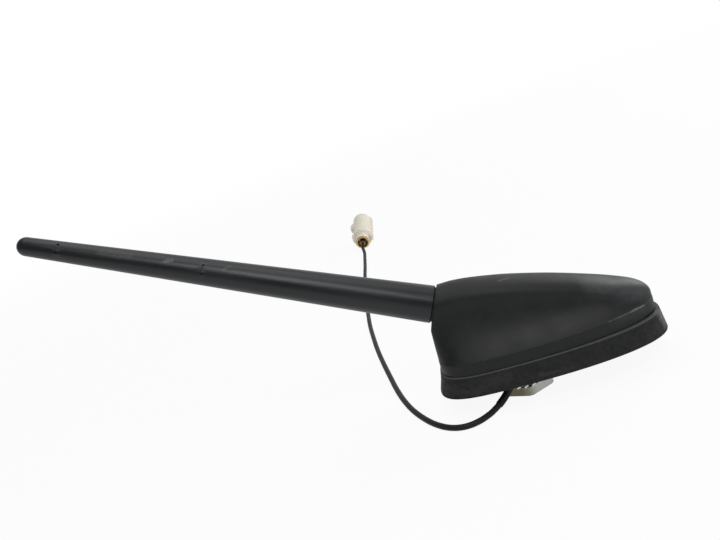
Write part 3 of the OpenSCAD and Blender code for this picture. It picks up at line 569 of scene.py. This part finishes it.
# The nut's side towards -X and -Y is painted tan-grey as shade
nut_stuff = zinc_plate("zinc_plate_painted_shade", "b8bcb6", "6f6a58", 0.34, (-0.97, -0.26, 0))
washer_stuff = zinc_plate("bright_zinc_plate", "e2e4e0", "c4c4bc", 0.22)
stud_stuff = zinc_plate("stud_zinc_plate", "d0cfc8", "a8a496", 0.3)
cast_stuff = zinc_plate("die_cast_zinc", "b4b6b8", "94979a", 0.45)
brass_stuff = turned_metal("turned_brass", "d8b368", "b48a44", 0.24)
gold_stuff = turned_metal("gold_plated_brass", "e4cb94", "c8a25e", 0.36)
bronze_stuff = turned_metal("crimped_bronze", "b89a6a", "8d6f45", 0.34)
insulator_stuff = plain_moulding("ptfe_insulator", "e9e7e0", "dad8cf", 0.5)
board_stuff = plain_moulding("glass_epoxy_board", "2e6b43", "1f5232", 0.4)
boot_stuff = plain_moulding("soft_nitrile_rubber", "141515", "0d0d0d", 0.6)
core_stuff = plain_moulding("glass_fibre_rod", "e3dcc0", "cfc6a2", 0.4)


# The base's outline, shared by the gasket and the cover
def base_plan(nose, tail, half, bluntness, steps):
    """Two half superellipses that meet at the widest place, the rear one narrowing to the tail."""
    out = []
    for i in range(steps):
        a = 2 * math.pi * (i + 0.5) / steps
        ahead = math.cos(a) > 0
        power = bluntness if ahead else TAIL_POWER
        along = abs(math.cos(a)) ** (2 / power)
        across = abs(math.sin(a)) ** (2 / power) * (1 if math.sin(a) >= 0 else -1)
        narrow = 1 if ahead else 1 - TAIL_NARROWING * along * along
        out.append((WIDEST + (nose - WIDEST) * along if ahead else WIDEST - (WIDEST + tail) * along,
                    half * across * narrow))
    return out


def even_plan(nose, tail, half, bluntness, steps=280):
    """The same outline with its points spaced evenly, so that the round corners stay smooth."""
    fine = base_plan(nose, tail, half, bluntness, 2400)
    far = [0.0]
    for a, b in zip(fine, fine[1:] + fine[:1]):
        far.append(far[-1] + math.dist(a, b))
    out, j = [], 0
    for i in range(steps):
        want = far[-1] * i / steps
        while far[j + 1] < want:
            j += 1
        t = (want - far[j]) / (far[j + 1] - far[j])
        a, b = fine[j], fine[(j + 1) % len(fine)]
        out.append((a[0] + (b[0] - a[0]) * t, a[1] + (b[1] - a[1]) * t))
    return out


def nose_at(inset):
    """How far the cover reaches ahead, that much inside its foot."""
    return NOSE_REACH - NOSE_FLARE - inset


def tail_at(inset):
    """How far the cover reaches back, that much inside its foot."""
    return TAIL_REACH - TAIL_FLARE - inset


def half_at(inset):
    """Half of the cover's width, that much inside its foot."""
    return BASE_W / 2 - SIDE_FLARE - inset


def drill(piece, centre, radius, depth, tilt=None):
    """Cuts a round hole."""
    bit = turned("drill", [(0, -depth / 2), (radius, -depth / 2), (radius, depth / 2), (0, depth / 2)], 48)
    bit.data.transform(Matrix.Translation(Vector(centre) * MM) @ (tilt or Matrix.Identity(4)))
    cut = piece.modifiers.new("hole", "BOOLEAN")
    cut.object = bit
    cut.operation = "DIFFERENCE"
    cut.solver = "MANIFOLD"
    apply_modifiers(piece)
    bpy.data.objects.remove(bit)
    return settle(piece, flip=False, sharp=38)


def make_gasket():
    """Foot with a rounded edge, a skirt that curves in, and a narrow ledge round the cover's foot."""
    loops = [(GASKET_LIP, GASKET_LIP, GASKET_LIP, 0)]
    for k in range(6):
        a = math.pi / 2 * k / 5
        s = FOOT_ROUND * (1 - math.sin(a))
        loops.append((s, s, s, FOOT_ROUND * (1 - math.cos(a))))
    top = SEAM - LEDGE_ROUND
    for k in range(1, 17):
        t = k / 16
        loops.append(((NOSE_FLARE - NOSE_LEDGE) * t, (TAIL_FLARE - LEDGE) * t ** SKIRT_TAIL_POWER,
                      (SIDE_FLARE - LEDGE) * t * t, FOOT_ROUND + (top - FOOT_ROUND) * t))
    for k in range(1, 5):
        a = math.pi / 2 * k / 4
        s = LEDGE_ROUND * (1 - math.cos(a))
        loops.append((NOSE_FLARE - NOSE_LEDGE + s, TAIL_FLARE - LEDGE + s, SIDE_FLARE - LEDGE + s,
                      top + LEDGE_ROUND * math.sin(a)))
    rings = []
    for n, t, h, z in loops:
        plan = even_plan(NOSE_REACH - n, TAIL_REACH - t, BASE_W / 2 - h, GASKET_NOSE_POWER)
        rings.append([(x, y, z) for x, y in plan])
    for z in (SEAM, SOLE):
        plan = even_plan(nose_at(RIM_W), tail_at(RIM_W), half_at(RIM_W), NOSE_POWER)
        rings.append([(x, y, z) for x, y in plan])
    hole = BOSS_W * math.sqrt(2) / 2 + SLACK
    for z in (SOLE, 0):
        rings.append([(hole * math.cos(a), hole * math.sin(a), z) for a in
                      [math.atan2(p[1], p[0]) for p in rings[0]]])
    steps = len(rings[0])
    piece = mesh_piece("rubber_gasket", [p for r in rings for p in r], ring_faces(len(rings), steps, True))
    settle(piece, sharp=38)
    return drill(piece, (EXIT[0], EXIT[1], SOLE / 2), (BOOT_D + 0.2) / 2, SOLE + 3)


# The cover
def mix(a, b, t):
    """From a to b as t goes from 0 to 1."""
    return a + (b - a) * t


def foot_half(x, inset):
    """Half of the foot's width at x."""
    if x < WIDEST:
        q, power = min((WIDEST - x) / (WIDEST + tail_at(inset)), 1), TAIL_POWER
        narrow = 1 - TAIL_NARROWING * q * q
    else:
        q, power, narrow = min((x - WIDEST) / (nose_at(inset) - WIDEST), 1), NOSE_POWER, 1
    return half_at(inset) * narrow * max(1 - q ** power, 0) ** (1 / power)


def tail_x(z, inset):
    """The tail's profile: x at that height, square to the mast from the joint's foot upwards."""
    join = -JOINT_BACK - COLLAR_R * math.sin(math.radians(LEAN)) + inset
    if z > JOINT_FOOT:
        return join + (z - JOINT_FOOT) * math.tan(math.radians(LEAN))
    return mix(-tail_at(inset), join, (max(z - SEAM, 0) / (JOINT_FOOT - SEAM)) ** TAIL_SWEEP)


def ridge_z(x, inset):
    """The ridge's profile: its height at x, falling steeply at the nose."""
    run = nose_at(0) - RIDGE_FLAT_TO
    line = COLLAR_TOP - RIDGE_DROP * (max(x - RIDGE_FLAT_TO, 0) / run) ** RIDGE_POWER
    q = max(x - nose_at(0) + NOSE_FALL, 0) / NOSE_FALL
    return mix(CREASE, line, max(1 - q ** FALL_POWER, 0) ** (1 / FALL_POWER)) - inset


def cover_side(u, inset, flank, ridge):
    """Half a section at the share u of the length: brim, crease, hollow flank and rounded ridge."""
    low, high = -tail_at(inset), nose_at(inset)
    x = mix(low, high, SECTIONS_FROM + SECTIONS_SPAN * (1 - math.cos(math.pi * u)) / 2)
    lean = max(1 - (x - low) / (LEAN_ENDS - low), 0) ** LEAN_FADE
    top_x = x + lean * (tail_x(COLLAR_TOP, inset) - low)
    top = max(ridge_z(top_x, inset), CREASE - inset + 0.4)
    foot = max(foot_half(x, inset), CREASE_STEP)
    crease = max(foot - CREASE_STEP, CREASE_STEP / 2)
    grow = min((top_x + JOINT_BACK) / RIDGE_GROWS_OVER, 1)
    ridge_r = mix(COLLAR_R, RIDGE_HALF, grow) - inset * 0.9
    if x > WIDEST:
        ridge_r = min(ridge_r, crease * RIDGE_SHARE_W)
    ridge_h = min(mix(COLLAR_HALF, RIDGE_H, grow), (top - CREASE + inset) * RIDGE_SHARE_H)
    crease_top = min(CREASE, top - ridge_h - 0.1)
    bend = mix(1, RIDGE_BEND, max(grow, 0))
    out, rise = crease - ridge_r, top - ridge_h - crease_top
    brim = (foot - BRIM_DRAFT, crease_top - BRIM_TURN)
    side = [(foot - CHAMFER_W, SEAM), (foot, SEAM + CHAMFER_H)]
    side += [(mix(foot, brim[0], t), mix(SEAM + CHAMFER_H, brim[1], t)) for t in (0.25, 0.5, 0.75, 1)]
    for k in range(1, 6):
        t = k / 6
        b, c = (foot - 0.5, crease_top - 0.04), (crease + 0.1, crease_top - 0.01)
        side.append(tuple(brim[i] * (1 - t) ** 2 + 2 * b[i] * t * (1 - t) + c[i] * t * t for i in (0, 1)))
    for k in range(flank + 1):
        t = k / flank
        s = 1 - t
        inwards = 3 * s * s * t * FLANK_IN[0] + 3 * s * t * t * FLANK_IN[1] + t ** 3
        upwards = 3 * s * s * t * FLANK_UP[0] + 3 * s * t * t * FLANK_UP[1] + t ** 3
        side.append((crease - out * inwards, crease_top + rise * upwards))
    for k in range(1, ridge + 1):
        a = math.pi / 2 * k / ridge
        side.append((ridge_r * max(math.cos(a), 0) ** bend, top - ridge_h + ridge_h * math.sin(a) ** bend))
    return [(x + lean * (tail_x(z, inset) - low), y, z) for y, z in side]


def make_cover():
    """The outer and inner skins, joined at the foot and at both ends, with the mast's hole drilled."""
    stations, flank, ridge = 110, 26, 18
    outer, inner = [], []
    for j in range(stations + 1):
        u = j / stations
        for rings, inset in ((outer, 0), (inner, WALL)):
            side = cover_side(u, inset, flank, ridge)
            rings.append([(x, -y, z) for x, y, z in side] + side[-2::-1])
    n, m = len(outer[0]), len(outer)
    faces = []
    far = m * n
    for j in range(m - 1):
        for i in range(n - 1):
            a, b = j * n + i, (j + 1) * n + i
            faces.append((a, a + 1, b + 1, b))
            faces.append((far + a, far + b, far + b + 1, far + a + 1))
        a, b = j * n, (j + 1) * n
        faces.append((a, b, far + b, far + a))
        faces.append((a + n - 1, far + a + n - 1, far + b + n - 1, b + n - 1))
    half = (n - 1) // 2
    for first, turn in ((0, 1), ((m - 1) * n, -1)):
        for shift in (0, far):
            for i in range(half):
                k = n - 1 - i
                cap = (first + shift + i, first + shift + k, first + shift + k - 1, first + shift + i + 1)
                cap = cap[:3] if cap[2] == cap[3] else cap
                faces.append(cap[::turn] if shift == 0 else cap[::-turn])
        faces.append((first, first + far, first + far + n - 1, first + n - 1)[::turn])
    piece = mesh_piece("moulded_cover", [p for rings in (outer, inner) for r in rings for p in r], faces)
    settle(piece, weld=0.000002, sharp=42)
    along_mast = Matrix.Rotation(math.radians(LEAN - 90), 4, "Y")
    return drill(piece, (-JOINT_BACK, 0, JOINT_UP), MAST_HOLE_R, MAST_HOLE_DEEP, along_mast)


gasket = make_gasket()
cover = make_cover()


# Pieces that Geometry Nodes make: the washer's bent teeth and the stud's thread
def new_shape_tree(name, sizes):
    """A shape tree whose named inputs are those sizes, with its group input and the socket of each size."""
    tree = bpy.data.node_groups.new(name, "GeometryNodeTree")
    sockets = {}
    for label, value in sizes.items():
        kind = "NodeSocketInt" if isinstance(value, int) else "NodeSocketFloat"
        sockets[label] = tree.interface.new_socket(label, in_out="INPUT", socket_type=kind).identifier
    tree.interface.new_socket("Geometry", in_out="OUTPUT", socket_type="NodeSocketGeometry")
    sizes_in = tree.nodes.new("NodeGroupInput")
    return tree, sizes_in.outputs, sockets


def shaped(name, tree, sockets, sizes, place, sharp=38):
    """A plain mesh out of a shape tree with those sizes, moved to its place."""
    piece = mesh_piece(name, [(0, 0, 0)], [])
    grown = piece.modifiers.new("shape", "NODES")
    grown.node_group = tree
    for label, value in sizes.items():
        grown[sockets[label]] = value
    apply_modifiers(piece)
    piece.data.transform(Matrix.Translation(Vector(place) * MM))
    return settle(piece, weld=0.000001, sharp=sharp)


def toothed_washer():
    """A flat ring with a row of teeth round its edge, each twisted out of the plane."""
    sizes = {"Teeth": WASHER_TEETH, "Bore Radius": (STUD_D / 2 + 0.1) * MM,
             "Ring Radius": (WASHER_D / 2 - 1.6) * MM, "Outer Radius": WASHER_D / 2 * MM,
             "Thickness": WASHER_T * MM, "Twist": math.radians(24)}
    tree, size, sockets = new_shape_tree("toothed_ring", sizes)
    ring_w = add(tree, "ShaderNodeMath", {0: size["Ring Radius"], 1: size["Bore Radius"]},
                 operation="SUBTRACT")
    ring_mid = add(tree, "ShaderNodeMath", {0: size["Ring Radius"], 1: size["Bore Radius"]},
                   operation="ADD")
    ring_mid = add(tree, "ShaderNodeMath", {0: ring_mid, 1: 0.5}, operation="MULTIPLY")
    ring_t = add(tree, "ShaderNodeMath", {0: size["Thickness"], 1: 0.62}, operation="MULTIPLY")
    circle = add(tree, "GeometryNodeCurvePrimitiveCircle", {"Resolution": 144, "Radius": ring_mid})
    section = add(tree, "GeometryNodeCurvePrimitiveQuadrilateral", {"Width": ring_w, "Height": ring_t})
    ring = add(tree, "GeometryNodeCurveToMesh", {"Curve": circle, "Profile Curve": section})
    # A tooth is a block that reaches from inside the ring to the washer's edge
    tooth_l = add(tree, "ShaderNodeMath", {0: size["Outer Radius"], 1: size["Ring Radius"]},
                  operation="SUBTRACT")
    tooth_l = add(tree, "ShaderNodeMath", {0: tooth_l, 1: 0.3 * MM}, operation="ADD")
    pitch = add(tree, "ShaderNodeMath", {0: size["Outer Radius"], 1: size["Teeth"]}, operation="DIVIDE")
    tooth_w = add(tree, "ShaderNodeMath", {0: pitch, 1: 2 * math.pi * 0.56}, operation="MULTIPLY")
    tooth_t = add(tree, "ShaderNodeMath", {0: size["Thickness"], 1: 0.5}, operation="MULTIPLY")
    tooth_size = add(tree, "ShaderNodeCombineXYZ", {0: tooth_l, 1: tooth_w, 2: tooth_t})
    tooth = add(tree, "GeometryNodeMeshCube", {"Size": tooth_size}, "Mesh")
    reach = add(tree, "ShaderNodeMath", {0: tooth_l, 1: 0.5}, operation="MULTIPLY")
    reach = add(tree, "ShaderNodeMath", {0: size["Outer Radius"], 1: reach}, operation="SUBTRACT")
    rim = add(tree, "GeometryNodeMeshCircle", {"Vertices": size["Teeth"], "Radius": reach})
    number = add(tree, "GeometryNodeInputIndex")
    turn = add(tree, "ShaderNodeMath", {0: number, 1: 2 * math.pi}, operation="MULTIPLY")
    turn = add(tree, "ShaderNodeMath", {0: turn, 1: size["Teeth"]}, operation="DIVIDE")
    lie = add(tree, "ShaderNodeCombineXYZ", {0: size["Twist"], 2: turn})
    teeth = add(tree, "GeometryNodeInstanceOnPoints", {"Points": rim, "Instance": tooth, "Rotation": lie})
    both = tree.nodes.new("GeometryNodeJoinGeometry")
    for part in (ring, teeth):
        tree.links.new(part, both.inputs[0])
    real = add(tree, "GeometryNodeRealizeInstances", {0: both.outputs[0]})
    done = add(tree, "GeometryNodeSetMaterial", {"Geometry": real, "Material": washer_stuff})
    add(tree, "NodeGroupOutput", {0: done})
    return shaped("toothed_washer", tree, sockets, sizes, (0, 0, -NUT_LOW + NUT_H + WASHER_T / 2))


def threaded_stud():
    """The stud below the boss: a core with a screw thread wound round it."""
    low, high = -STUD_LOW, -BOSS_DEEP
    pitch, core_r = 1.5, STUD_D / 2 - 0.35
    sizes = {"Radius": (STUD_D / 2 - 0.5) * MM, "Pitch": pitch * MM, "Turns": (high - low - pitch) / pitch,
             "Ridge": 0.5 * MM}
    tree, size, sockets = new_shape_tree("screw_thread", sizes)
    rise = add(tree, "ShaderNodeMath", {0: size["Pitch"], 1: size["Turns"]}, operation="MULTIPLY")
    steps = add(tree, "ShaderNodeMath", {0: size["Turns"], 1: 64}, operation="MULTIPLY")
    helix = add(tree, "GeometryNodeCurveSpiral", {
        "Resolution": 64, "Rotations": size["Turns"], "Start Radius": size["Radius"],
        "End Radius": size["Radius"], "Height": rise})
    helix = add(tree, "GeometryNodeResampleCurve", {"Curve": helix, "Count": steps})
    # Three corners make the thread's ridge
    section = add(tree, "GeometryNodeCurvePrimitiveCircle", {"Resolution": 3, "Radius": size["Ridge"]})
    ridge = add(tree, "GeometryNodeCurveToMesh", {"Curve": helix, "Profile Curve": section,
                                                  "Fill Caps": True})
    real = add(tree, "GeometryNodeRealizeInstances", {0: ridge})
    done = add(tree, "GeometryNodeSetMaterial", {"Geometry": real, "Material": stud_stuff})
    add(tree, "NodeGroupOutput", {0: done})
    thread = shaped("stud_thread", tree, sockets, sizes, (0, 0, low + pitch / 2 + 0.1), 60)
    core = turned("threaded_stud", [(0, low), (STUD_D / 2 - 0.9, low), (core_r, low + 0.5),
                                    (core_r, high), (STUD_D / 2 - 1, high),
                                    (STUD_D / 2 - 1, PLATE_TOP + 0.6), (0, PLATE_TOP + 0.6)])
    settle(core, flip=False, sharp=38)
    work = bmesh.new()
    work.from_mesh(core.data)
    work.from_mesh(thread.data)
    work.to_mesh(core.data)
    work.free()
    bpy.data.objects.remove(thread)
    return core


washer, stud = toothed_washer(), threaded_stud()

# Pieces that refine their CAD node
mast = refined_copy("mast_sheath", "mast_sheath_skin", 0)
nut = refined_copy("nut", "hexagon_nut", 0.25, 30, 3)
plug_shell = refined_copy("plug_housing", "plug_shell", 0.22, 30, 3)
barrel = refined_copy("plug_barrel", "plug_metal_barrel", 0.12, 50, 2)
crimp = refined_copy("plug_crimp", "plug_crimp_ferrule", 0.2, 50, 2)
boot = refined_copy("lead_boot", "lead_rubber_boot", 0.2, 50, 2)

SLOTS = {part["node"]: part["material_slot"] for part in frame["record"]["subparts"]}
for piece, stuff, node in [
        (cover, cover_stuff, "cover"), (gasket, gasket_stuff, "gasket"), (mast, mast_stuff, "mast_sheath"),
        (nut, nut_stuff, "nut"), (plug_shell, nylon, "plug_housing"), (barrel, gold_stuff, "plug_barrel"),
        (crimp, bronze_stuff, "plug_crimp"), (boot, boot_stuff, "lead_boot"),
        (washer, washer_stuff, "lock_washer"), (stud, stud_stuff, "mounting_stud"),
        (lead, lead_stuff, "lead"), (sleeve, sleeve_stuff, "lead_sleeve")]:
    dress(piece, stuff, SLOTS[node], node)

for node, stuff in {
        "base_plate": cast_stuff, "cover_screws": stud_stuff, "circuit_board": board_stuff,
        "shield_can": washer_stuff,
        "board_screws": stud_stuff, "contact_spring": bronze_stuff, "mast_socket": brass_stuff,
        "joint_ring": boot_stuff, "mast_ferrule": brass_stuff, "mast_core": core_stuff,
        "mast_winding": bronze_stuff, "lead_tail": lead_stuff, "plug_insulator": insulator_stuff,
        "plug_pin": gold_stuff}.items():
    for entry in frame["nodes"][node].material_slots:
        entry.material = stuff


def pale_floor():
    """A floor that shows white round the object and keeps its shadow."""
    wide = 6.0
    corners = [(-wide, -wide, 0), (wide, -wide, 0), (wide, wide, 0), (-wide, wide, 0)]
    floor = mesh_piece("studio_floor", corners, [(0, 1, 2, 3)], False, 1)
    floor.data.transform(Matrix.Translation((0, 0, -(NUT_LOW + 0.02) * MM)))
    stuff, tree = new_material("white_sweep")
    rays = add(tree, "ShaderNodeLightPath").node.outputs
    place = add(tree, "ShaderNodeTexCoord", out="Object")
    far = add(tree, "ShaderNodeVectorMath", {0: place}, "Value", operation="LENGTH")
    mirrored = add(tree, "ShaderNodeMath", {0: rays["Is Glossy Ray"], 1: 0.7}, operation="MULTIPLY")
    seen = add(tree, "ShaderNodeMath", {0: mirrored, 1: rays["Is Transmission Ray"]}, operation="ADD")
    seen = add(tree, "ShaderNodeMath", {0: seen, 1: rays["Is Camera Ray"]}, operation="ADD")
    bright = add(tree, "ShaderNodeMapRange", {"Value": far, "From Min": 0.3, "From Max": 1.2,
                                              "To Min": 0.92, "To Max": 1.0})
    seen = add(tree, "ShaderNodeMath", {0: seen, 1: bright}, operation="MULTIPLY")
    glow = add(tree, "ShaderNodeEmission", {"Color": (1, 1, 1, 1), "Strength": 1.0})
    matt = add(tree, "ShaderNodeBsdfPrincipled", {"Base Color": (0.9, 0.9, 0.9, 1), "Roughness": 0.9,
                                                  "Specular IOR Level": 0.0})
    both = add(tree, "ShaderNodeMixShader", {0: seen, 1: matt, 2: glow})
    add(tree, "ShaderNodeOutputMaterial", {"Surface": both})
    floor.data.materials.append(stuff)


def studio_world():
    """White to the camera, white behind the object in reflections, and dim in front of it and above."""
    world = bpy.data.worlds.new("studio")
    bpy.context.scene.world = world
    world.use_nodes = True
    tree = world.node_tree
    tree.nodes.clear()
    rays = add(tree, "ShaderNodeLightPath").node.outputs
    way = add(tree, "ShaderNodeTexCoord", out="Generated")
    behind = add(tree, "ShaderNodeVectorMath", {0: way, 1: (0.0, 1.0, -0.6)}, "Value",
                 operation="DOT_PRODUCT")
    behind = add(tree, "ShaderNodeMapRange", {"Value": behind, "From Min": -0.2, "From Max": 0.7,
                                              "To Min": 0.06, "To Max": 0.9},
                 interpolation_type="SMOOTHSTEP")
    mirrored = add(tree, "ShaderNodeMath", {0: rays["Is Glossy Ray"], 1: behind}, operation="MULTIPLY")
    seen = add(tree, "ShaderNodeMath", {0: rays["Is Camera Ray"], 1: rays["Is Transmission Ray"]},
               operation="ADD")
    seen = add(tree, "ShaderNodeMath", {0: seen, 1: mirrored}, operation="ADD")
    air = add(tree, "ShaderNodeBackground", {"Color": (0.93, 0.96, 1.0, 1), "Strength": 0.24})
    white = add(tree, "ShaderNodeBackground", {"Color": (1, 1, 1, 1), "Strength": 1.0})
    both = add(tree, "ShaderNodeMixShader", {0: seen, 1: air, 2: white})
    add(tree, "ShaderNodeOutputWorld", {"Surface": both})


def add_lamps():
    """Softboxes, each a square area light aimed at a point, in metres and watts."""
    for name, place, target, size, power in [
            ("overhead_softbox", (0.0, 0.15, 0.9), (-0.02, 0.0, 0.0), 0.7, 2.6),
            ("front_softbox", (0.06, -0.55, 0.8), (-0.05, 0.0, 0.05), 0.42, 2.6),
            ("back_right_softbox", (0.6, 0.62, 0.42), (0.0, 0.0, 0.02), 0.5, 2.6),
            ("right_fill", (0.7, -0.5, 0.25), (0.0, 0.0, 0.02), 0.4, 0.9)]:
        light = bpy.data.lights.new(name, "AREA")
        light.energy = power
        light.size = size
        lamp = bpy.data.objects.new(name, light)
        lamp.location = place
        lamp.rotation_euler = (Vector(place) - Vector(target)).to_track_quat("Z", "Y").to_euler()
        bpy.context.scene.collection.objects.link(lamp)


pale_floor()
studio_world()
add_lamps()
bpy.context.scene.view_settings.view_transform = "Standard"
